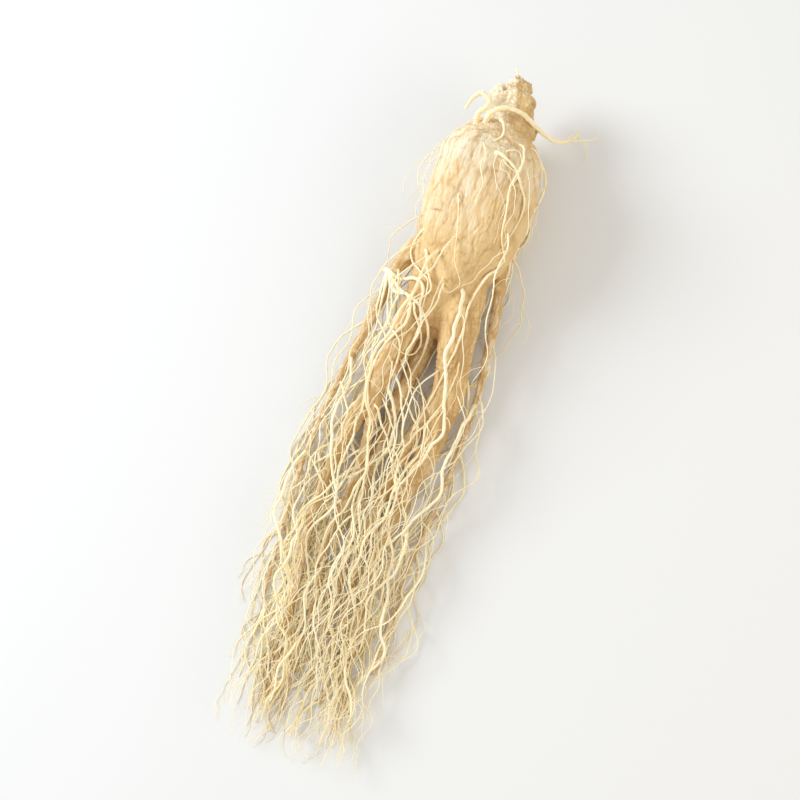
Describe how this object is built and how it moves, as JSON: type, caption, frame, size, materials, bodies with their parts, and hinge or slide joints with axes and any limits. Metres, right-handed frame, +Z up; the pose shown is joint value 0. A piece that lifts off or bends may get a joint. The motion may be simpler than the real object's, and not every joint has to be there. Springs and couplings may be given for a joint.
{
  "type": "ginseng root",
  "caption": "Whole dried ginseng root lying on its side: plump taproot with a knobbly neck, forking into tapering legs and a long tail of wavy fibrous rootlets.",
  "frame": {"origin": "on the table plane, below the middle of the root's bounding box", "axes": "+X along the root towards its head, +Y to the left of someone looking towards the head from above, +Z up from the table"},
  "size_m": [0.2524, 0.0578, 0.0367],
  "materials": {
    "root_skin": "dry, satin to matt"
  },
  "bodies": {
    "root": {"ginseng_root": "root_skin"}
  },
  "joints": []
}
